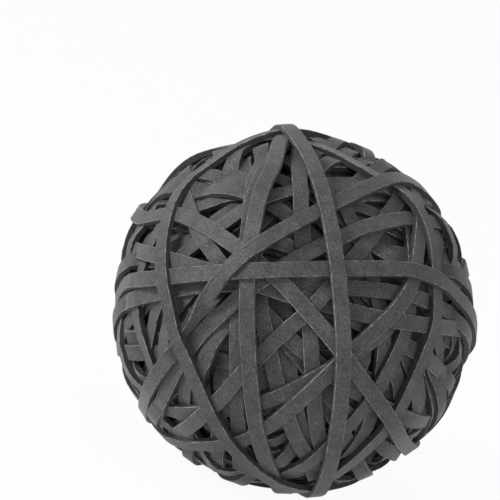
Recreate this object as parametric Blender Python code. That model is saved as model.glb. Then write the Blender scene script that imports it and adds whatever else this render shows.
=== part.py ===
"""A ball wound from rubber bands.

Each outer band is a closed flat ring that is stretched round the ball. The bands are laid one after the other, as
they are wound on: every band lies taut over all that was laid before it, so it touches the high places and bridges
the gaps between them. The many bands inside, which can't be seen, are one solid, the inner windings.

The front of the ball faces -Y while it is wound. It is then turned to how it settles, and its lowest bands are
pressed to a small flat spot. Lengths are in metres.
"""

import math

import bmesh
import bpy
import numpy as np
from mathutils import Matrix
from mathutils.bvhtree import BVHTree

MM = 0.001
FULL_TURN = 2.0 * math.pi

# The rubber band
BAND_WIDTH = 3.0 * MM
BAND_THICKNESS = 0.7 * MM

# The winding
INNER_RADIUS = 30.0 * MM
SURFACE_RADIUS = 34.2 * MM
LAY_CLEARANCE = 0.15 * MM
DEEPEST_PRESS = 2.0
TOP_PRESS = 1.3

# How far to the side of its shortest way a band may pass the back of the ball
BACK_SHIFTS = [widths * BAND_WIDTH for widths in (0, -1, 1, -2, 2, -3, 3)]

# How the pile is squeezed round
SQUEEZE_ROUNDS = 1
SQUEEZE_SPREAD = math.radians(8)
PEAK_POWER = 16

# Where the outer bands' marks were read: the first of them lies deeper than the last
FIRST_MARK_RADIUS = 33.5 * MM
LAST_MARK_RADIUS = 35.8 * MM
LIMB_SHARE = 0.995

# How the ball settles on its bands: tipped about X, then rolled about Y, in degrees
SETTLE_TIP = -16.0
SETTLE_ROLL = -15.0
PRESSED_DEPTH = 0.4 * MM

# How finely a band is worked out
RING_SIDES = 36
FACES_PER_BEND = 4
PATH_STEPS = 360
TRIAL_STEPS = 120
WANDER_EASE_STEPS = 15
EDGE_ALLOWANCE = 0.4 * MM
ACROSS_SAMPLES = 7
TRIAL_ACROSS_SAMPLES = 3
LAY_PASSES = 2
LEAST_CLEARANCE = 0.12 * MM
RAISE_STEP = 0.08 * MM
RAISE_LIMIT = 40
CAST_FROM = 60.0 * MM
INNER_SUBDIVISIONS = 3
SQUEEZE_SUBDIVISIONS = 4

RUBBER_COLOUR = (0.086, 0.086, 0.086, 1.0)
RUBBER_ROUGHNESS = 0.62

# Places that each outer band passes on the front of the ball, as (across, up) from its centre in millimetres.
# The first band is the deepest and the last lies over all others.
OUTER_BAND_MARKS = [
    [(29.6, -3.9), (31.6, -6.0), (33.3, -8.4)],
    [(28.9, 21.1), (31.0, 14.6), (33.0, 9.9), (34.5, 4.5)],
    [(29.8, 10.7), (33.0, 7.4), (35.1, 1.0)],
    [(-27.9, 3.9), (-32.4, -2.3), (-33.7, -7.2), (-31.4, -15.0)],
    [(-26.3, 2.9), (-29.4, -4.5), (-30.6, -9.4), (-28.7, -15.2)],
    [(-24.6, -1.8), (-27.1, -6.8), (-27.1, -11.7)],
    [(-22.2, -15.0), (-22.4, -24.0)],
    [(25.5, -14.4), (25.7, -24.2)],
    [(13.1, 22.0), (18.5, 21.3), (24.6, 16.6)],
    [(11.1, 19.5), (16.8, 14.2), (20.1, 11.3)],
    [(-19.7, 27.1), (-13.3, 26.5), (-8.8, 26.3)],
    [(-20.5, 24.8), (-13.3, 24.2), (-8.4, 23.6)],
    [(-22.6, 11.7), (-17.7, 14.4), (-10.3, 19.7)],
    [(-33.3, 10.1), (-26.9, 10.9)],
    [(-17.6, 28.5), (-13.7, 31.8), (-6.8, 33.5)],
    [(-6.0, 33.7), (-0.6, 28.9), (9.2, 25.0)],
    [(-10.3, 4.1), (-3.7, -2.1), (3.7, -9.6)],
    [(4.1, -18.9), (5.1, -25.7)],
    [(-1.0, -22.8), (1.8, -28.3)],
    [(-9.4, -19.1), (-1.8, -16.2)],
    [(-11.5, -17.6), (-11.3, -24.4)],
    [(5.3, -28.3), (-1.0, -32.6)],
    [(11.1, 5.7), (17.0, 4.9)],
    [(11.1, 0.2), (15.4, -0.8)],
    [(-25.9, -25.4), (-18.1, -32.2), (-8.4, -35.5)],
    [(-16.2, -18.9), (-9.8, -11.1), (-3.1, -4.1), (1.8, -1.0)],
    [(-23.0, -8.2), (-25.7, -14.8), (-27.9, -22.8)],
    [(-25.4, -25.4), (-14.8, -27.3), (-8.4, -25.9), (0.0, -18.1), (11.9, -6.2), (23.4, 5.9)],
    [(1.4, 34.3), (11.1, 32.6), (23.8, 22.2), (28.3, 12.7), (25.5, -7.2), (20.9, -19.3), (14.0, -28.3),
     (7.2, -33.7)],
    [(-30.8, 17.4), (-25.5, 20.9), (-16.2, 16.6), (-1.6, 6.0), (4.7, -1.4), (14.4, -14.4), (22.4, -28.7)],
    [(-3.5, 32.8), (-2.5, 28.9), (-6.0, 23.4), (-8.0, 13.8)],
    [(-34.3, 6.2), (-26.3, 6.6), (-6.8, 7.8), (22.4, 8.6), (29.8, 6.0), (34.7, 0.4)],
    [(-20.1, -2.9), (-15.2, 5.1), (-6.0, 13.1), (5.1, 20.7), (14.4, 25.2), (22.4, 26.9), (28.3, 22.4)],
    [(-2.7, 34.9), (-13.3, 32.6), (-20.3, 28.3), (-24.8, 20.3), (-24.2, 5.3), (-18.9, -14.8), (-10.5, -29.8)],
    [(-1.8, 35.7), (5.7, 24.0), (9.0, 2.5), (9.2, -14.8), (6.2, -33.5)],
]


def clear_objects():
    for old in list(bpy.data.objects):
        bpy.data.objects.remove(old, do_unlink=True)


def rubber(name):
    """Matt dark rubber."""
    material = bpy.data.materials.new(name)
    material.use_nodes = True
    shader = material.node_tree.nodes["Principled BSDF"]
    shader.inputs["Base Color"].default_value = RUBBER_COLOUR
    shader.inputs["Roughness"].default_value = RUBBER_ROUGHNESS
    shader.inputs["Metallic"].default_value = 0.0
    return material


def even_turns(count):
    return np.arange(count) * FULL_TURN / count


def ease(values):
    """A running mean along a closed path."""
    half = WANDER_EASE_STEPS // 2
    return sum(np.roll(values, shift) for shift in range(-half, half + 1)) / (2 * half + 1)


def front_directions(marks, radius):
    """Directions from the ball's centre to marks on its front."""
    flat = np.array(marks) * MM / radius
    reach = np.hypot(flat[:, 0], flat[:, 1])
    flat *= np.minimum(1.0, LIMB_SHARE / reach)[:, None]
    depth = np.sqrt(1.0 - (flat**2).sum(axis=1))
    return np.column_stack([flat[:, 0], -depth, flat[:, 1]])


class Path:
    """The way of one band round the ball: near a great circle, and wandering to the side to meet its marks."""

    def __init__(self, directions, back_shift):
        self.pole = np.linalg.svd(directions)[2][2]
        middle = directions.mean(axis=0)
        middle -= self.pole * (middle @ self.pole)
        self.start = middle / np.linalg.norm(middle)
        self.side = np.cross(self.pole, self.start)
        turns = np.append(np.arctan2(directions @ self.side, directions @ self.start), math.pi)
        wander = np.append(np.arcsin(directions @ self.pole), back_shift / INNER_RADIUS)
        order = np.argsort(turns % FULL_TURN)
        values = np.interp(even_turns(PATH_STEPS), turns[order] % FULL_TURN, wander[order], period=FULL_TURN)
        self.wander = ease(ease(values))

    def at(self, turns):
        """Outward directions at these turns."""
        wander = np.interp(turns, even_turns(PATH_STEPS), self.wander, period=FULL_TURN)[:, None]
        level = np.cos(turns)[:, None] * self.start + np.sin(turns)[:, None] * self.side
        return np.cos(wander) * level + np.sin(wander) * self.pole

    def sideways(self, turns):
        """Directions across the band at these turns."""
        step = math.pi / PATH_STEPS
        ahead = self.at(turns + step) - self.at(turns - step)
        across = np.cross(self.at(turns), ahead)
        return across / np.linalg.norm(across, axis=1)[:, None]


class Pile:
    """All that has been laid so far."""

    def __init__(self):
        self.points = []
        self.faces = []
        self.tree = None

    def add(self, points, faces):
        first = len(self.points)
        self.points += points.tolist()
        self.faces += [tuple(first + corner for corner in face) for face in faces]
        self.tree = BVHTree.FromPolygons(self.points, self.faces)

    def heights(self, origins, outward):
        """How far out the pile reaches below each origin, along its outward direction."""
        found = []
        for origin, inward in zip(origins.tolist(), (-outward).tolist()):
            distance = self.tree.ray_cast(origin, inward)[3]
            found.append(0.0 if distance is None else CAST_FROM - distance)
        return np.array(found)

    def height_under(self, centre_line, outward, across, samples):
        """How far out the pile reaches along each outward direction, under the whole width of a band."""
        half = BAND_WIDTH / 2.0 + EDGE_ALLOWANCE
        high_up = centre_line + outward * (CAST_FROM - (centre_line * outward).sum(axis=1))[:, None]
        offsets = np.linspace(-half, half, samples)
        return np.max([self.heights(high_up + across * offset, outward) for offset in offsets], axis=0)


class Squeeze:
    """How far the pile is pressed together, as a share of its free height along each direction from the centre."""

    def __init__(self):
        points, _ = ball_mesh(1.0, SQUEEZE_SUBDIVISIONS)
        self.directions = points / np.linalg.norm(points, axis=1)[:, None]
        self.shares = np.ones(len(points))

    def blend(self, outward, values):
        """Values of the directions round about, weighed by how near they are."""
        nearness = np.exp((outward @ self.directions.T - 1.0) / SQUEEZE_SPREAD**2)
        return nearness @ values / nearness.sum(axis=1)

    def along(self, outward):
        return self.blend(outward, self.shares)

    def correct(self, pile):
        """Press harder where the pile has become high, and less where it is low. High places count for more."""
        heights = pile.heights(self.directions * CAST_FROM, self.directions)
        level = self.blend(self.directions, heights**PEAK_POWER) ** (1.0 / PEAK_POWER)
        self.shares *= SURFACE_RADIUS / level


class Ring:
    """A band's straight sides over a path. At a press of 1 it is taut; above 1 it gives way into the hollows."""

    def __init__(self, path, squeeze, press):
        self.path = path
        self.squeeze = squeeze
        self.press = press
        self.supports = np.zeros(RING_SIDES)

    def clear(self, turns, heights):
        """Move each side out until it clears these heights."""
        free = heights / self.squeeze.along(self.path.at(turns))
        apart = turns[None, :] - even_turns(RING_SIDES)[:, None]
        apart = (apart + math.pi) % FULL_TURN - math.pi
        bearing = np.cos(np.clip(apart * self.press, -math.pi / 2.0, math.pi / 2.0))
        self.supports = np.maximum(self.supports, (free[None, :] * bearing).max(axis=1) + LAY_CLEARANCE)

    def corners(self, lift):
        """Turn and outward distance of each corner, for the ring raised by a lift."""
        supports = self.supports + lift
        step = self.press * FULL_TURN / RING_SIDES
        following = np.roll(supports, -1)
        lean = np.arctan2(following - supports * math.cos(step), supports * math.sin(step))
        turns = even_turns(RING_SIDES) + lean / self.press
        return turns, supports / np.cos(lean) * self.squeeze.along(self.path.at(turns))

    def straight_runs(self):
        """Points along the straight runs between the corners, with the turn of each."""
        turns, radii = self.corners(0.0)
        ends = self.path.at(turns) * radii[:, None]
        shares = (np.arange(PATH_STEPS // RING_SIDES) + 0.5) * RING_SIDES / PATH_STEPS
        runs = np.roll(ends, -1, axis=0) - ends
        points = ends[:, None, :] + runs[:, None, :] * shares[None, :, None]
        gaps = (np.roll(turns, -1) - turns) % FULL_TURN
        between = turns[:, None] + gaps[:, None] * shares[None, :]
        return points.reshape(-1, 3), between.reshape(-1)

    def lie_on(self, pile, steps, samples):
        """Lie on the pile along the whole path."""
        turns = even_turns(steps)
        outward = self.path.at(turns)
        self.clear(turns, pile.height_under(outward, outward, self.path.sideways(turns), samples))

    def settle_runs(self, pile):
        """Raise the straight runs clear of the pile under them."""
        points, turns = self.straight_runs()
        heights = pile.height_under(points, self.path.at(turns), self.path.sideways(turns), ACROSS_SAMPLES)
        self.clear(turns, heights)


def easiest_ring(directions, pile, squeeze, press):
    """The ring that is stretched least, among those that pass the back of the ball at different places."""
    rings = [Ring(Path(directions, shift), squeeze, press) for shift in BACK_SHIFTS]
    for ring in rings:
        ring.lie_on(pile, TRIAL_STEPS, TRIAL_ACROSS_SAMPLES)
    return min(rings, key=lambda ring: ring.supports.sum())


def lay_band(directions, pile, squeeze, press):
    chosen = easiest_ring(directions, pile, squeeze, press)
    ring = Ring(chosen.path, squeeze, press)
    ring.lie_on(pile, PATH_STEPS, ACROSS_SAMPLES)
    for _ in range(LAY_PASSES):
        ring.settle_runs(pile)
    raise_clear(ring, pile)
    return ring


def raise_clear(ring, pile):
    """Raise the sides that still come too near to a band below."""
    for _ in range(RAISE_LIMIT):
        points, faces = ring_mesh(ring, LEAST_CLEARANCE)
        near = BVHTree.FromPolygons(points.tolist(), faces).overlap(pile.tree)
        if not near:
            return
        bends = {face // FACES_PER_BEND for face, _ in near}
        for bend in bends:
            ring.supports[[bend, (bend + 1) % RING_SIDES]] += RAISE_STEP


def ring_mesh(ring, spare=0.0):
    """Corners and faces of the band, or of a larger one that has some to spare below and on both sides."""
    half = BAND_WIDTH / 2.0 + spare
    lines = []
    for lift, side in ((-spare, -half), (-spare, half), (BAND_THICKNESS, half), (BAND_THICKNESS, -half)):
        turns, radii = ring.corners(lift)
        lines.append(ring.path.at(turns) * radii[:, None] + ring.path.sideways(turns) * side)
    points = np.concatenate(lines)
    faces = []
    for bend in range(RING_SIDES):
        after = (bend + 1) % RING_SIDES
        for line in range(FACES_PER_BEND):
            here = line * RING_SIDES
            beside = (line + 1) % FACES_PER_BEND * RING_SIDES
            faces.append((here + bend, beside + bend, beside + after, here + after))
    return points, faces


def ball_mesh(radius, subdivisions):
    """Points and faces of a round solid."""
    body = bmesh.new()
    bmesh.ops.create_icosphere(body, subdivisions=subdivisions, radius=radius)
    points = np.array([corner.co[:] for corner in body.verts])
    faces = [tuple(corner.index for corner in face.verts) for face in body.faces]
    body.free()
    return points, faces


def wind(squeeze):
    """Every piece's points and faces, in the order of winding."""
    points, faces = ball_mesh(1.0, INNER_SUBDIVISIONS)
    points *= (INNER_RADIUS * squeeze.along(points))[:, None]
    pieces = [("inner_windings", points, faces)]
    pile = Pile()
    pile.add(points, faces)
    radii = np.linspace(FIRST_MARK_RADIUS, LAST_MARK_RADIUS, len(OUTER_BAND_MARKS))
    presses = np.linspace(DEEPEST_PRESS, TOP_PRESS, len(OUTER_BAND_MARKS))
    for number, (marks, radius, press) in enumerate(zip(OUTER_BAND_MARKS, radii, presses), start=1):
        ring = lay_band(front_directions(marks, radius), pile, squeeze, press)
        points, faces = ring_mesh(ring)
        pile.add(points, faces)
        pieces.append((f"band_{number:02d}", points, faces))
    return pieces, pile


def wind_round():
    """Wind the ball again and again, each time squeezed closer to round."""
    squeeze = Squeeze()
    for _ in range(SQUEEZE_ROUNDS):
        squeeze.correct(wind(squeeze)[1])
    return wind(squeeze)[0]


def settle(pieces):
    """Turn the ball to how it rests, stand it on the ground and centre it."""
    tip = Matrix.Rotation(math.radians(SETTLE_TIP), 3, "X")
    roll = Matrix.Rotation(math.radians(SETTLE_ROLL), 3, "Y")
    turn = np.array(roll @ tip).T
    settled = [(name, points @ turn, faces) for name, points, faces in pieces]
    everything = np.concatenate([points for _, points, _ in settled])
    low = everything.min(axis=0)
    high = everything.max(axis=0)
    foot = np.array([(low[0] + high[0]) / 2.0, (low[1] + high[1]) / 2.0, low[2] + PRESSED_DEPTH])
    return [(name, points - foot, faces) for name, points, faces in settled]


def press_flat(body):
    """Flatten what reaches below the ground."""
    bmesh.ops.triangulate(body, faces=body.faces[:])
    parts = body.verts[:] + body.edges[:] + body.faces[:]
    cut = bmesh.ops.bisect_plane(body, geom=parts, plane_co=(0, 0, 0), plane_no=(0, 0, -1), clear_outer=True)
    rim = [part for part in cut["geom_cut"] if isinstance(part, bmesh.types.BMEdge)]
    bmesh.ops.triangle_fill(body, edges=rim, use_beauty=True, use_dissolve=True, normal=(0, 0, -1))


def make_object(name, points, faces):
    body = bmesh.new()
    corners = [body.verts.new(point) for point in points]
    for face in faces:
        body.faces.new([corners[corner] for corner in face])
    bmesh.ops.recalc_face_normals(body, faces=body.faces[:])
    if points[:, 2].min() < 0.0:
        press_flat(body)
        bmesh.ops.recalc_face_normals(body, faces=body.faces[:])
    mesh = bpy.data.meshes.new(name)
    body.to_mesh(mesh)
    body.free()
    mesh.materials.append(rubber(name))
    piece = bpy.data.objects.new(name, mesh)
    bpy.context.scene.collection.objects.link(piece)


def main():
    clear_objects()
    for name, points, faces in settle(wind_round()):
        make_object(name, points, faces)


main()
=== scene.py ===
"""The rubber band ball as it looks.

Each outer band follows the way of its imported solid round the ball, and is let down again in fine detail: its
left edge, middle and right edge each lie taut over what is under them, so it tilts and bends over the bands
below. Where an outer band would lie deep, the windings inside hold it up. The inner windings become separate
bands that fill the room under and between the outer ones.

The ball's own frame has its origin at the centre of the winding and the axes of the row frame. Lengths are in
metres.
"""

import math

import bmesh
import bpy
import numpy as np
from mathutils import Matrix, Vector


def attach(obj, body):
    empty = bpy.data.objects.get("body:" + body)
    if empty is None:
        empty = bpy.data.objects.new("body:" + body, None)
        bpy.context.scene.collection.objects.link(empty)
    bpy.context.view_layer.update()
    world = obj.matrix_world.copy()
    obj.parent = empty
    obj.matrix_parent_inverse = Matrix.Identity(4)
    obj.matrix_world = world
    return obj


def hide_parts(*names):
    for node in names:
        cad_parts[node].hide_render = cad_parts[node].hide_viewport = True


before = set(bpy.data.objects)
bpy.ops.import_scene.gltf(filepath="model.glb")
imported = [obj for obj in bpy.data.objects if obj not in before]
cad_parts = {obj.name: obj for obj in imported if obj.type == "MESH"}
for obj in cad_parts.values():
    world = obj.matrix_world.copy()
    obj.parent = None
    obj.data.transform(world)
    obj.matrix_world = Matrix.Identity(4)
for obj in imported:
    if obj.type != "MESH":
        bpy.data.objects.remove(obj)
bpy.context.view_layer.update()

MM = 0.001
FULL_TURN = 2.0 * math.pi

# Where the winding's centre is, and how the ball is turned from its photographed side to how it rests
BALL_CENTRE = np.array([-0.5250, -0.0008, 34.3167]) * MM
SETTLE_TIP = math.radians(-16.0)
SETTLE_ROLL = math.radians(-15.0)
SETTLE = Matrix.Rotation(SETTLE_ROLL, 3, "Y") @ Matrix.Rotation(SETTLE_TIP, 3, "X")
SETTLE_TURN = np.array(SETTLE).T
PHOTOGRAPHED = np.array([0.0, -1.0, 0.0]) @ SETTLE_TURN
BALL_RADIUS = 36.0 * MM

# The rubber band. Rubber gives, so a band sinks a little into what is under it
BAND_WIDTH = 3.0 * MM
BAND_THICKNESS = 0.78 * MM
SUNK = 0.38 * MM
EDGE_ROUND = 0.1 * MM
SHARP_ANGLE = math.radians(28)

# The kinds of face round a band's section, which tell the material what is flat, what is a cut side, darkened
# by painted shade, and what is an arris, paled by wear and a painted highlight
FLAT = 0.0
CUT = 0.5
ARRIS = 1.0
KIND_MARGIN = 0.1

# How finely a band is worked out: stations round it, samples between them and across, and cells of directions
STATIONS = 320
TURNS = (np.arange(STATIONS) + 0.5) * FULL_TURN / STATIONS
TURNS_APART = (TURNS[None, :] - TURNS[:, None] + math.pi) % FULL_TURN - math.pi
TURNS_FROM = np.array([0.1, 0.2, 1.0])
EDGE_SAMPLES = 60
FINER = 4
ACROSS_SAMPLES = 15
GRID = 160

# How many stations to each side a running mean takes in
WAY_EASE = 4
DEPTH_EASE = 7
EDGE_EASE = 1
LEVEL_EASE = 5
BEND_EASE = 3
LIFT_EASE = 2

# How an outer band lies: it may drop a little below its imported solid, tilt, and crown over what is under its
# middle. The deepest bands are pressed into the hollows, and the last ones aren't
DROP = 0.45 * MM
CLEARANCE = 0.05 * MM
UNDER_ALLOWANCE = 0.12 * MM
SAG = 0.06 * MM
CROWN = 0.16 * MM
MOST_TILT = 1.3 * MM
DEEPEST_PRESS = 2.4
UNPRESSED_BANDS = 14
STEEPEST = math.radians(80)
HELD_DEPTH = 1.2 * MM

# Where a band is twisted: place (across, up) in millimetres, the side that is raised, degrees, and how far
# the twist reaches
TWISTS = {"band_33": ((-20.3, -4.9), (-1.0, 0.6), 80.0, 8.3 * MM)}
TWIST_LIFT = 0.5

# Bands that show through the small windows between the outer ones, as (across, up) in millimetres on the
# photographed side, and the radius at which they lie there. Marks past the outline count as just inside it
WINDOW_RADIUS = 33.6 * MM
OUTLINE_SHARE = 0.995
WINDOW_BAND_MARKS = [
    [(29.8, 0.6), (32.2, -2.7), (33.9, -5.3)],
    [(-20.7, -19.9), (-21.1, -22.4), (-20.5, -25.7)],
    [(27.7, -11.1), (28.1, -17.6), (28.3, -20.9)],
    [(12.1, 15.4), (16.6, 10.9)],
    [(-20.3, 23.4), (-18.7, 19.7)],
    [(-21.3, 9.6), (-15.4, 11.5), (-12.3, 12.5)],
    [(-11.3, 30.2), (-6.4, 33.0)],
    [(-6.4, 4.5), (-11.3, 0.2)],
    [(-3.5, 4.5), (-1.6, 0.2)],
    [(-2.0, -6.8), (-0.6, -14.0)],
    [(18.5, 6.4), (17.6, 2.5)],
    [(11.1, 3.1), (16.6, 2.1)],
]

# The other inner bands. Each is the one, among some chosen by chance, that fills the widest gaps
OTHER_INNER_BANDS = 130
CANDIDATES = 30
INNER_SEED = 7
INNER_WANDER = 2.4 * MM
SHALLOWEST = 0.4 * MM
GAP_FROM = 1.2 * MM
GAP_TO = 4.0 * MM
GAP_PLACES = (-0.4, 0.0, 0.4)
BEND_GIVE = 0.22 / MM
INNER_STEP = 2
BANDS_IN_PIECE = 50
CORE_RADIUS = 29.0 * MM

# The inner bands lie under the last of the outer ones, and on the photographed side, where the cosine of the
# angle to its middle is greater than this, under all of them. Beyond it they fill the ball to its round shape
TOP_BANDS = 8
IN_SIGHT = 0.45
SIGHT_EDGE = 0.25
FULL_RADIUS = 35.6 * MM
FLOOR_CLEARANCE = 0.3 * MM
LEAST_DOWN = 0.1

# How the level of the surface is read from the outer bands' tops
LEVEL_SPREAD = math.radians(7)
LEVEL_STEP = 2
LEVEL_GRID = 32
PEAK_POWER = 30

# The rubber's grey on its faces, a darker grey on its cut sides that is painted shade, and how much the grey
# differs from band to band
RUBBER_SHADE = 0.067
CUT_PAINTED_SHADE = 0.024
OUTER_TINTS = (0.92, 1.08)
# The inner bands' tints vary at random, but are lower on the whole than the outer bands', and the middle's is
# lower still: painted shade where they lie under the outer bands
INNER_TINTS_WITH_SHADE = (0.8, 1.0)
CORE_PAINTED_SHADE = 0.8

# The studio: the floor's side and colour, how much of it shows as plain white, the even light, and the lamps,
# each with its place (right, towards the viewer, up), side and power
FLOOR_SIZE = 8.0
FLOOR_COLOUR = (0.9, 0.9, 0.9, 1.0)
FLOOR_WHITE = 0.94
WORLD_LIGHT = 0.4
KEY_LAMP = ((-0.6, 0.42, 0.6), 0.25, 6.2)
FILL_LAMP = ((0.4, 0.6, 0.0), 0.6, 0.9)

# The view: the photograph's frame is this wide at the ball, whose centre lies right of and below its middle
PHOTO_WIDTH = 97.5 * MM
PHOTO_SHIFT_ACROSS = 8.385 * MM
PHOTO_SHIFT_UP = 12.285 * MM
CAMERA_DISTANCE = 1.5
SENSOR = 36.0


def ease(values, half):
    """A running mean along a closed band."""
    total = sum(np.roll(values, shift, axis=0) for shift in range(-half, half + 1))
    return total / (2 * half + 1)


def unit(vectors):
    return vectors / np.linalg.norm(vectors, axis=-1, keepdims=True)


def turns_start(pole):
    """The direction square to a pole from which the turns round it are counted."""
    return unit(np.cross(pole, TURNS_FROM))


def least_spread_pole(points):
    """The pole of the plane through the ball's centre that lies nearest to some points."""
    return np.linalg.svd(points)[2][2]


def thirds(values):
    """What belongs to a band's left edge, middle and right edge, of values for each place across it."""
    third = ACROSS_SAMPLES // 3
    return values[:, :third], values[:, third:-third], values[:, -third:]


def cells(points, grid=GRID):
    """The cell of a grid of directions that each point lies in, as seen from the ball's centre."""
    size = np.abs(points)
    axis = size.argmax(axis=-1)
    main = np.take_along_axis(points, axis[..., None], -1)[..., 0]
    places = []
    for step in (1, 2):
        other = np.take_along_axis(points, ((axis + step) % 3)[..., None], -1)[..., 0]
        place = (other / np.abs(main) + 1.0) / 2.0 * grid
        places.append(np.clip(place.astype(int), 0, grid - 1))
    return ((axis * 2 + (main > 0)) * grid + places[0]) * grid + places[1]


def cell_directions(grid):
    """A direction through the middle of each cell, in the order of the cells."""
    middles = (np.arange(grid) + 0.5) / grid * 2.0 - 1.0
    first, second = np.meshgrid(middles, middles, indexing="ij")
    faces = []
    for axis in range(3):
        for main in (-1.0, 1.0):
            face = np.empty((grid, grid, 3))
            face[..., axis] = main
            face[..., (axis + 1) % 3] = first
            face[..., (axis + 2) % 3] = second
            faces.append(face.reshape(-1, 3))
    return unit(np.concatenate(faces))


class Heights:
    """How far out the bands laid so far reach in each direction."""

    def __init__(self):
        self.reach = np.zeros(6 * GRID * GRID)

    def add(self, points):
        np.maximum.at(self.reach, cells(points), np.linalg.norm(points, axis=-1))

    def at(self, points):
        return self.reach[cells(points)]


class Ceiling:
    """How far in the bands reach that lie over the others, in each direction."""

    def __init__(self):
        self.reach = np.full(6 * GRID * GRID, np.inf)

    def add(self, points):
        np.minimum.at(self.reach, cells(points), np.linalg.norm(points, axis=-1))

    def over(self, way):
        """The lowest ceiling at each station and each place across a band."""
        points = way.spread(np.full(STATIONS, BALL_RADIUS), UNDER_ALLOWANCE)
        return self.reach[cells(points)].min(axis=2)


class Way:
    """The way of a band round the ball: near a great circle about its pole, wandering a little from it."""

    def __init__(self, pole, wander):
        start = turns_start(pole)
        side = np.cross(pole, start)
        level = np.cos(TURNS)[:, None] * start + np.sin(TURNS)[:, None] * side
        self.outward = np.cos(wander)[:, None] * level + np.sin(wander)[:, None] * pole
        ahead = np.roll(self.outward, -1, axis=0) - np.roll(self.outward, 1, axis=0)
        self.across = unit(np.cross(self.outward, ahead))
        self.widths = np.full(STATIONS, BAND_WIDTH)

    def finer(self):
        """Outward and across directions and widths at several places round each station."""
        shares = (np.arange(FINER) - (FINER - 1) / 2.0) / FINER
        found = []
        for values in (self.outward, self.across, self.widths[:, None]):
            slope = (np.roll(values, -1, axis=0) - np.roll(values, 1, axis=0)) / 2.0
            found.append(values[:, None, :] + slope[:, None, :] * shares[None, :, None])
        return found

    def spread(self, radius, allowance):
        """Points over the band's width at each station's radius, as (station, place across, place round)."""
        outward, across, widths = self.finer()
        offsets = np.linspace(-0.5, 0.5, ACROSS_SAMPLES)
        reach = (widths + 2 * allowance)[:, :, :, None] * offsets[None, None, :, None]
        points = outward[:, :, None, :] * radius[:, None, None, None] + across[:, :, None, :] * reach
        return points.transpose(0, 2, 1, 3)


class Band:
    """A band's inner face over its way: how high its left edge, middle and right edge are at each station."""

    def __init__(self, way, left, middle, right):
        self.way = way
        self.left = left
        self.middle = middle
        self.right = right

    def raise_by(self, lift):
        self.left = self.left + lift
        self.middle = self.middle + lift
        self.right = self.right + lift

    def face(self, place, lift):
        """Points over the band at a place from -1 to 1 across it, lifted from its inner face."""
        slope = (self.right - self.left) / 2.0
        bend = (self.left + self.right) / 2.0 - self.middle
        height = self.middle + slope * place + bend * place**2
        rise = (slope + 2.0 * bend * place) / (self.way.widths / 2.0)
        normal = unit(self.way.outward - self.way.across * rise[:, None])
        sideways = self.way.across * (self.way.widths / 2.0 * place)[:, None]
        return self.way.outward * height[:, None] + sideways + normal * lift

    def points(self, lift):
        """Points over the band, close enough together to reach every cell under it."""
        found = []
        for place in np.linspace(-1.0, 1.0, ACROSS_SAMPLES):
            line = self.face(place, lift)
            gap = (np.roll(line, -1, axis=0) - line) / FINER
            found += [line + gap * step for step in range(FINER)]
        return np.concatenate(found)


def solid_way(name):
    """The way and the inner radius of a packed band, read at each station."""
    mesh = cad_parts[name].data
    corners = np.array([corner.co[:] for corner in mesh.vertices]) - BALL_CENTRE
    ends = np.array([edge.vertices[:] for edge in mesh.edges])
    shares = np.linspace(0.0, 1.0, EDGE_SAMPLES)[None, :, None]
    points = corners[ends[:, 0]][:, None, :] * (1.0 - shares) + corners[ends[:, 1]][:, None, :] * shares
    points = points.reshape(-1, 3)
    pole = least_spread_pole(corners)
    start = turns_start(pole)
    turns = np.arctan2(points @ np.cross(pole, start), points @ start) % FULL_TURN
    station = np.minimum((turns / FULL_TURN * STATIONS).astype(int), STATIONS - 1)
    radius = np.linalg.norm(points, axis=1)
    lean = np.arcsin(points @ pole / radius)
    least = np.full(STATIONS, np.inf)
    most = np.full(STATIONS, -np.inf)
    inner = np.full(STATIONS, np.inf)
    np.minimum.at(least, station, lean)
    np.maximum.at(most, station, lean)
    np.minimum.at(inner, station, radius)
    return Way(pole, ease((least + most) / 2.0, WAY_EASE)), ease(inner, DEPTH_EASE)


def photo_direction(marks, radius):
    """Directions from the ball's centre to places (across, up) in millimetres on the photographed side."""
    flat = np.array(marks) * MM / radius
    reach = np.hypot(flat[:, 0], flat[:, 1])
    flat *= np.minimum(1.0, OUTLINE_SHARE / reach)[:, None]
    depth = np.sqrt(1.0 - (flat**2).sum(axis=1))
    return np.column_stack([flat[:, 0], -depth, flat[:, 1]]) @ SETTLE_TURN


def twist(band, place, raised, angle, reach):
    """Turn a band on its own length about a place, so that its edge on the raised side stands up."""
    there = photo_direction([place], BALL_RADIUS)[0]
    apart = np.arccos(np.clip(band.way.outward @ there, -1.0, 1.0)) * BALL_RADIUS
    turn = math.radians(angle) * np.exp(-((apart / reach) ** 4))
    side = np.sign(band.way.across @ (SETTLE_TURN.T @ np.array([raised[0], 0.0, raised[1]])))
    rise = np.sin(turn) * band.way.widths / 2.0 * side
    band.left = band.left - rise
    band.right = band.right + rise
    band.raise_by(np.abs(rise) * TWIST_LIFT)
    band.way.widths = band.way.widths * np.cos(turn)


def taut(heights, press):
    """The line that lies taut over these heights. Pressed in by more than 1 it gives way into the hollows."""
    apart = TURNS_APART * press
    near = np.abs(apart) < STEEPEST
    bearing = np.cos(np.clip(apart, -STEEPEST, STEEPEST))
    supports = np.where(near, heights[None, :] * bearing, 0.0).max(axis=1)
    return np.where(near, supports[None, :] / bearing, np.inf).min(axis=1)


def lie_over(way, floor, press, heights):
    """Let a band down until it is held up by its floor or by what is under it."""
    clear = heights.at(way.spread(floor, UNDER_ALLOWANCE)).max(axis=2) + CLEARANCE
    left, middle, right = (taut(np.maximum(part.max(axis=1), floor), press) for part in thirds(clear))
    tilt = right - left
    left = left + np.maximum(0.0, tilt - MOST_TILT)
    right = right + np.maximum(0.0, -tilt - MOST_TILT)
    middle = np.maximum(middle, (left + right) / 2.0 - SAG)
    lift = np.maximum(0.0, middle - (left + right) / 2.0 - CROWN)
    return Band(way, *(ease(line, EDGE_EASE) for line in (left + lift, middle, right + lift)))


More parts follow.
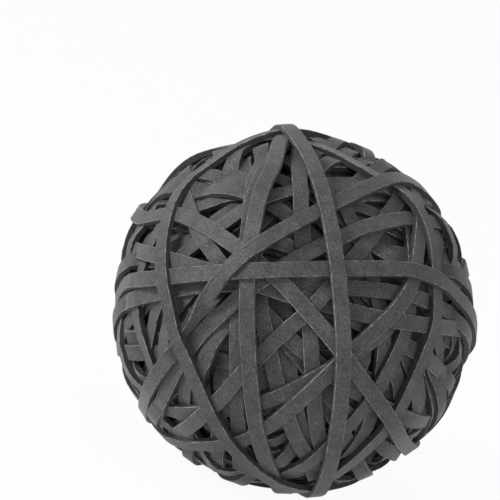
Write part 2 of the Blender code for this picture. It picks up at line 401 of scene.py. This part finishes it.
def outer_bands():
    """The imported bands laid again, deepest first, with their names."""
    names = sorted(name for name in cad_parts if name.startswith("band_"))
    heights = Heights()
    bands = []
    for number, name in enumerate(names, start=1):
        way, inner = solid_way(name)
        depth = max(0.0, 1.0 - number / (len(names) - UNPRESSED_BANDS))
        press = 1.0 + (DEEPEST_PRESS - 1.0) * depth
        band = lie_over(way, inner - DROP, press, heights)
        if name in TWISTS:
            twist(band, *TWISTS[name])
        heights.add(band.points(BAND_THICKNESS))
        bands.append((name, band))
    return bands


class Surface:
    """The level of the ball's surface.

    On the photographed side it is read from the tops of the outer bands round about, where high ones count
    for more. Beyond it the ball is round, but flat where it stands on the ground.
    """

    def __init__(self, bands):
        directions = cell_directions(LEVEL_GRID)
        tops = np.concatenate([band.face(0.0, BAND_THICKNESS)[::LEVEL_STEP] for band in bands])
        radii = np.linalg.norm(tops, axis=1)
        nearness = np.exp((directions @ (tops / radii[:, None]).T - 1.0) / LEVEL_SPREAD**2)
        power = nearness @ (radii / BALL_RADIUS) ** PEAK_POWER / nearness.sum(axis=1)
        level = power ** (1.0 / PEAK_POWER) * BALL_RADIUS
        beyond = np.clip((IN_SIGHT - directions @ PHOTOGRAPHED) / SIGHT_EDGE, 0.0, 1.0)
        level += beyond * np.maximum(FULL_RADIUS - level, 0.0)
        down = np.clip(-directions[:, 2], LEAST_DOWN, 1.0)
        self.levels = np.minimum(level, (BALL_CENTRE[2] - FLOOR_CLEARANCE) / down)

    def at(self, outward):
        return ease(self.levels[cells(outward, LEVEL_GRID)], LEVEL_EASE)


def slack(tops):
    """The line that runs under these heights and bends no more sharply than a band does."""
    return ease((tops[None, :] + BEND_GIVE * (TURNS_APART * BALL_RADIUS) ** 2).min(axis=1), BEND_EASE)


def hold_up(bands):
    """Lift the bands where they lie deep, as far as the ones over them let them come."""
    surface = Surface(bands)
    ceiling = Ceiling()
    for band in reversed(bands):
        room = ceiling.over(band.way).min(axis=1) - CLEARANCE
        top = slack(np.minimum(surface.at(band.way.outward) - HELD_DEPTH, room))
        highest = np.maximum(np.maximum(band.left, band.right), band.middle) + BAND_THICKNESS
        band.raise_by(ease(np.maximum(0.0, top - highest), LIFT_EASE))
        ceiling.add(band.points(0.0))


def window_way(marks):
    """A way through marks on the photographed side."""
    return Way(least_spread_pole(photo_direction(marks, WINDOW_RADIUS)), np.zeros(STATIONS))


def chance_way(chance):
    """A way in a direction chosen by chance, wandering a little."""
    pole = unit(chance.normal(0.0, 1.0, 3))
    phases = chance.uniform(0.0, FULL_TURN, 3)
    wander = sum(np.sin(TURNS * (order + 1) + phase) for order, phase in enumerate(phases)) / 2.0
    return Way(pole, wander * INNER_WANDER / BALL_RADIUS)


def gap_along(way, surface, heights):
    """How much a band on this way would fill of the gaps that reach deep below the surface."""
    offsets = np.array(GAP_PLACES) * BAND_WIDTH / BALL_RADIUS
    below = heights.at(way.outward[:, None, :] + way.across[:, None, :] * offsets[None, :, None])
    depth = surface.at(way.outward) - below.mean(axis=1)
    return np.clip(depth - GAP_FROM, 0.0, GAP_TO).mean()


def filling_way(surface, heights, chance):
    """The way, of some chosen by chance, on which a band fills most."""
    choice = [chance_way(chance) for _ in range(CANDIDATES)]
    return max(choice, key=lambda way: gap_along(way, surface, heights))


def slip_under(way, surface, ceiling):
    """Put a band as high as it fits under the surface and under the bands that lie over it."""
    level = surface.at(way.outward) - SHALLOWEST
    free = ceiling.over(way) - CLEARANCE
    left, middle, right = (slack(np.minimum(part.min(axis=1), level)) for part in thirds(free))
    left = np.minimum(left, right + MOST_TILT)
    right = np.minimum(right, left + MOST_TILT)
    middle = np.minimum(middle, (left + right) / 2.0 + SAG)
    drop = np.maximum(0.0, (left + right) / 2.0 - middle - SAG)
    tops = (left - drop, middle, right - drop)
    return Band(way, *(np.maximum(top - BAND_THICKNESS, CORE_RADIUS) for top in tops))


def inner_bands(outer):
    """Bands that fill the room under and between the outer ones, from the surface inwards."""
    heights = Heights()
    ceiling = Ceiling()
    for number, band in enumerate(outer):
        heights.add(band.points(BAND_THICKNESS))
        under = band.points(0.0)
        if number < len(outer) - TOP_BANDS:
            under = under[unit(under) @ PHOTOGRAPHED > IN_SIGHT]
        ceiling.add(under)
    surface = Surface(outer)
    chance = np.random.default_rng(INNER_SEED)
    bands = []
    for number in range(len(WINDOW_BAND_MARKS) + OTHER_INNER_BANDS):
        if number < len(WINDOW_BAND_MARKS):
            way = window_way(WINDOW_BAND_MARKS[number])
        else:
            way = filling_way(surface, heights, chance)
        band = slip_under(way, surface, ceiling)
        heights.add(band.points(BAND_THICKNESS))
        ceiling.add(band.points(0.0))
        bands.append(band)
    return bands


def band_section():
    """Place across and lift of each point round a band's section, with the kind of the face after it."""
    side = 1.0 - EDGE_ROUND / (BAND_WIDTH / 2.0)
    top = BAND_THICKNESS
    bottom = -SUNK
    return [
        (-1.0, bottom + EDGE_ROUND, CUT),
        (-1.0, top - EDGE_ROUND, ARRIS),
        (-side, top, FLAT),
        (0.0, top, FLAT),
        (side, top, ARRIS),
        (1.0, top - EDGE_ROUND, CUT),
        (1.0, bottom + EDGE_ROUND, ARRIS),
        (side, bottom, FLAT),
        (-side, bottom, ARRIS),
    ]


def band_mesh(band, step):
    """Points in the row frame, faces, and what kind of face each is."""
    section = band_section()
    points = np.stack([band.face(place, lift)[::step] for place, lift, _ in section], axis=1)
    stations, count = points.shape[:2]
    points = points.reshape(-1, 3) + BALL_CENTRE
    points[:, 2] = np.maximum(points[:, 2], 0.0)
    here = np.arange(stations)[:, None] * count + np.arange(count)[None, :]
    beside = np.roll(here, -1, axis=1)
    after = np.roll(here, -1, axis=0)
    opposite = np.roll(beside, -1, axis=0)
    faces = np.stack([here, after, opposite, beside], axis=-1).reshape(-1, 4)
    return points, faces, np.tile([kind for _, _, kind in section], stations)


def set_corner_values(mesh, name, values):
    layer = mesh.attributes.new(name, "FLOAT", "CORNER")
    layer.data.foreach_set("value", values.astype(np.float32))


def add_piece(name, mesh, material, node):
    """Put a rubber piece into the scene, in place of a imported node."""
    mesh.shade_smooth()
    mesh.materials.append(material)
    piece = bpy.data.objects.new(name, mesh)
    bpy.context.scene.collection.objects.link(piece)
    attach(piece, "root")
    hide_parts(node)
    return piece


def make_bands(name, bands, step, tones_and_shades, material, node):
    """One piece of one or more bands."""
    points, faces, kinds, shades = [], [], [], []
    first = 0
    for band, tone_and_shade in zip(bands, tones_and_shades):
        band_points, band_faces, band_kinds = band_mesh(band, step)
        points.append(band_points)
        faces.append(band_faces + first)
        kinds.append(band_kinds)
        shades.append(np.full(len(band_faces), tone_and_shade))
        first += len(band_points)
    mesh = bpy.data.meshes.new(name)
    mesh.from_pydata(np.concatenate(points).tolist(), [], np.concatenate(faces).tolist())
    set_corner_values(mesh, "kind", np.repeat(np.concatenate(kinds), 4))
    set_corner_values(mesh, "tone_and_shade", np.repeat(np.concatenate(shades), 4))
    piece = add_piece(name, mesh, material, node)
    mesh.set_sharp_from_angle(angle=SHARP_ANGLE)
    return piece


def make_core(material):
    """The middle of the ball, where the windings lie too close together to tell apart."""
    body = bmesh.new()
    bmesh.ops.create_icosphere(body, subdivisions=5, radius=CORE_RADIUS)
    bmesh.ops.translate(body, verts=body.verts[:], vec=BALL_CENTRE)
    mesh = bpy.data.meshes.new("core_windings")
    body.to_mesh(mesh)
    body.free()
    set_corner_values(mesh, "kind", np.full(len(mesh.loops), FLAT))
    # Its lower tint is painted shade, deep inside the ball
    set_corner_values(mesh, "tone_and_shade", np.full(len(mesh.loops), CORE_PAINTED_SHADE))
    return add_piece("core_windings", mesh, material, "inner_windings")


class Pattern:
    """Short ways to make the nodes that a material's pattern is built from."""

    def __init__(self, material):
        self.nodes = material.node_tree.nodes
        self.link = material.node_tree.links.new
        self.place = self.nodes.new("ShaderNodeTexCoord").outputs["Object"]

    def noise(self, scale, detail):
        node = self.nodes.new("ShaderNodeTexNoise")
        node.inputs["Scale"].default_value = scale
        node.inputs["Detail"].default_value = detail
        self.link(self.place, node.inputs["Vector"])
        return node.outputs["Fac"]

    def attribute(self, name):
        node = self.nodes.new("ShaderNodeAttribute")
        node.attribute_name = name
        return node.outputs["Fac"]

    def spread(self, value, low, high, least, most):
        """A value from low to high brought to least to most."""
        node = self.nodes.new("ShaderNodeMapRange")
        for label, number in (("From Min", low), ("From Max", high), ("To Min", least), ("To Max", most)):
            node.inputs[label].default_value = number
        self.link(value, node.inputs["Value"])
        return node.outputs["Result"]

    def combine(self, operation, first, second):
        """A sum, product or comparison of two values, each a number or another node's output."""
        node = self.nodes.new("ShaderNodeMath")
        node.operation = operation
        for place, value in enumerate((first, second)):
            if isinstance(value, float):
                node.inputs[place].default_value = value
            else:
                self.link(value, node.inputs[place])
        return node.outputs[0]

    def product(self, first, *others):
        for other in others:
            first = self.combine("MULTIPLY", first, other)
        return first


def rubber_shade(pattern):
    """Grey, mottled and speckled, with painted shade darkening the cut sides, corners paled by wear and a
    painted highlight, and a little dust.
    """
    kind = pattern.attribute("kind")
    off_cut = pattern.combine("ABSOLUTE", pattern.combine("SUBTRACT", kind, CUT), 0.0)
    painted_cut_shade = pattern.combine("LESS_THAN", off_cut, KIND_MARGIN)
    arris = pattern.combine("GREATER_THAN", kind, ARRIS - KIND_MARGIN)
    mottle = pattern.spread(pattern.noise(scale=420.0, detail=5.0), low=0.3, high=0.7, least=0.76, most=1.24)
    speckle = pattern.spread(pattern.noise(scale=2800.0, detail=2.0), low=0.3, high=0.7, least=0.5, most=1.5)
    cloud = pattern.spread(pattern.noise(scale=70.0, detail=2.0), low=0.35, high=0.65, least=0.9, most=1.1)
    # The cut sides take the darker grey: painted shade, as if they lay in shadow
    base = pattern.spread(painted_cut_shade, low=0.0, high=1.0, least=RUBBER_SHADE, most=CUT_PAINTED_SHADE)
    grey = pattern.product(mottle, speckle, cloud, pattern.attribute("tone_and_shade"), base)
    # The arrises are paled in broken lines, partly by wear and partly by a painted highlight; dust lightens
    # any face
    wear_and_highlight = pattern.spread(pattern.noise(scale=900.0, detail=3.0), low=0.4, high=0.68, least=0.01, most=0.28)
    dust = pattern.spread(pattern.noise(scale=3200.0, detail=1.0), low=0.7, high=0.78, least=0.0, most=0.12)
    dust_wear_and_highlight = pattern.combine("MAXIMUM", pattern.product(arris, wear_and_highlight), dust)
    return pattern.combine("ADD", grey, dust_wear_and_highlight)


def rubber():
    """Matt black rubber with fine grain."""
    material = bpy.data.materials.new("rubber")
    material.use_nodes = True
    pattern = Pattern(material)
    nodes = pattern.nodes
    shader = nodes["Principled BSDF"]
    shader.inputs["Roughness"].default_value = 0.62
    shader.inputs["Specular IOR Level"].default_value = 0.35
    shader.inputs["Sheen Weight"].default_value = 0.24
    shader.inputs["Sheen Roughness"].default_value = 0.45
    colour = nodes.new("ShaderNodeCombineColor")
    shade = rubber_shade(pattern)
    for label in ("Red", "Green", "Blue"):
        pattern.link(shade, colour.inputs[label])
    pattern.link(colour.outputs["Color"], shader.inputs["Base Color"])
    coarse = pattern.product(pattern.noise(scale=260.0, detail=2.0), 2.0)
    bump = nodes.new("ShaderNodeBump")
    bump.inputs["Strength"].default_value = 0.5
    bump.inputs["Distance"].default_value = 0.06 * MM
    grain = pattern.combine("ADD", pattern.noise(scale=1500.0, detail=4.0), coarse)
    pattern.link(grain, bump.inputs["Height"])
    pattern.link(bump.outputs["Normal"], shader.inputs["Normal"])
    return material


def background_rays(nodes, link):
    """1 for the rays that show the background: to the camera, off a glossy face or through a clear one."""
    rays = nodes.new("ShaderNodeLightPath")
    straight_or_glossy = nodes.new("ShaderNodeMath")
    straight_or_glossy.operation = "MAXIMUM"
    link(rays.outputs["Is Camera Ray"], straight_or_glossy.inputs[0])
    link(rays.outputs["Is Glossy Ray"], straight_or_glossy.inputs[1])
    shown = nodes.new("ShaderNodeMath")
    shown.operation = "MAXIMUM"
    link(straight_or_glossy.outputs[0], shown.inputs[0])
    link(rays.outputs["Is Transmission Ray"], shown.inputs[1])
    return shown.outputs[0]


def make_floor():
    """A plain white floor that shows as white and keeps a soft shadow."""
    bpy.ops.mesh.primitive_plane_add(size=FLOOR_SIZE)
    ground = bpy.context.active_object
    ground.name = "floor"
    material = bpy.data.materials.new("floor")
    material.use_nodes = True
    nodes = material.node_tree.nodes
    link = material.node_tree.links.new
    shader = nodes["Principled BSDF"]
    shader.inputs["Base Color"].default_value = FLOOR_COLOUR
    shader.inputs["Roughness"].default_value = 0.9
    shader.inputs["Specular IOR Level"].default_value = 0.1
    white = nodes.new("ShaderNodeEmission")
    share = nodes.new("ShaderNodeMath")
    share.operation = "MULTIPLY"
    share.inputs[1].default_value = FLOOR_WHITE
    mix = nodes.new("ShaderNodeMixShader")
    link(background_rays(nodes, link), share.inputs[0])
    link(share.outputs[0], mix.inputs["Fac"])
    link(shader.outputs["BSDF"], mix.inputs[1])
    link(white.outputs["Emission"], mix.inputs[2])
    link(mix.outputs["Shader"], nodes["Material Output"].inputs["Surface"])
    ground.data.materials.append(material)


def make_world():
    """Even pale light, which shows as white behind the ball."""
    surround = bpy.data.worlds.new("studio")
    bpy.context.scene.world = surround
    surround.use_nodes = True
    nodes = surround.node_tree.nodes
    link = surround.node_tree.links.new
    light = nodes["Background"]
    light.inputs["Color"].default_value = (1.0, 1.0, 1.0, 1.0)
    light.inputs["Strength"].default_value = WORLD_LIGHT
    white = nodes.new("ShaderNodeBackground")
    white.inputs["Strength"].default_value = 1.0
    mix = nodes.new("ShaderNodeMixShader")
    link(background_rays(nodes, link), mix.inputs["Fac"])
    link(light.outputs["Background"], mix.inputs[1])
    link(white.outputs["Background"], mix.inputs[2])
    link(mix.outputs["Shader"], nodes["World Output"].inputs["Surface"])


def make_lamp(name, place, size, power):
    """A square soft light that shines at the ball, at a place given in the photograph's own directions."""
    right, near, up = place
    light = bpy.data.lights.new(name, "AREA")
    light.size = size
    light.energy = power
    holder = bpy.data.objects.new(name, light)
    bpy.context.scene.collection.objects.link(holder)
    offset = SETTLE @ Vector((right, -near, up))
    holder.location = Vector(BALL_CENTRE) + offset
    holder.rotation_euler = (-offset).to_track_quat("-Z", "Y").to_euler()


def make_camera():
    """The photograph's view."""
    lens = bpy.data.cameras.new("camera")
    lens.sensor_width = SENSOR
    lens.lens = SENSOR * CAMERA_DISTANCE / PHOTO_WIDTH
    holder = bpy.data.objects.new("camera", lens)
    bpy.context.scene.collection.objects.link(holder)
    turn = SETTLE @ Matrix.Rotation(math.radians(90.0), 3, "X")
    place = SETTLE @ Vector((-PHOTO_SHIFT_ACROSS, -CAMERA_DISTANCE, PHOTO_SHIFT_UP))
    holder.matrix_world = Matrix.Translation(Vector(BALL_CENTRE) + place) @ turn.to_4x4()
    bpy.context.scene.camera = holder


def make_ball():
    """The outer bands one by one, the inner ones some to a piece, and the middle."""
    material = rubber()
    chance = np.random.default_rng(INNER_SEED)
    named = outer_bands()
    outer = [band for _, band in named]
    hold_up(outer)
    for name, band in named:
        make_bands(f"outer_{name}", [band], 1, [chance.uniform(*OUTER_TINTS)], material, name)
    inner = inner_bands(outer)
    for number, first in enumerate(range(0, len(inner), BANDS_IN_PIECE), start=1):
        bands = inner[first : first + BANDS_IN_PIECE]
        # The inner bands' lower tints carry painted shade
        tones_and_shades = chance.uniform(*INNER_TINTS_WITH_SHADE, len(bands))
        make_bands(f"inner_bands_{number}", bands, INNER_STEP, tones_and_shades, material, "inner_windings")
    make_core(material)


def main():
    make_ball()
    make_floor()
    make_world()
    make_lamp("key", *KEY_LAMP)
    make_lamp("fill", *FILL_LAMP)
    make_camera()
    bpy.context.scene.view_settings.view_transform = "Standard"
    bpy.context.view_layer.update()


main()
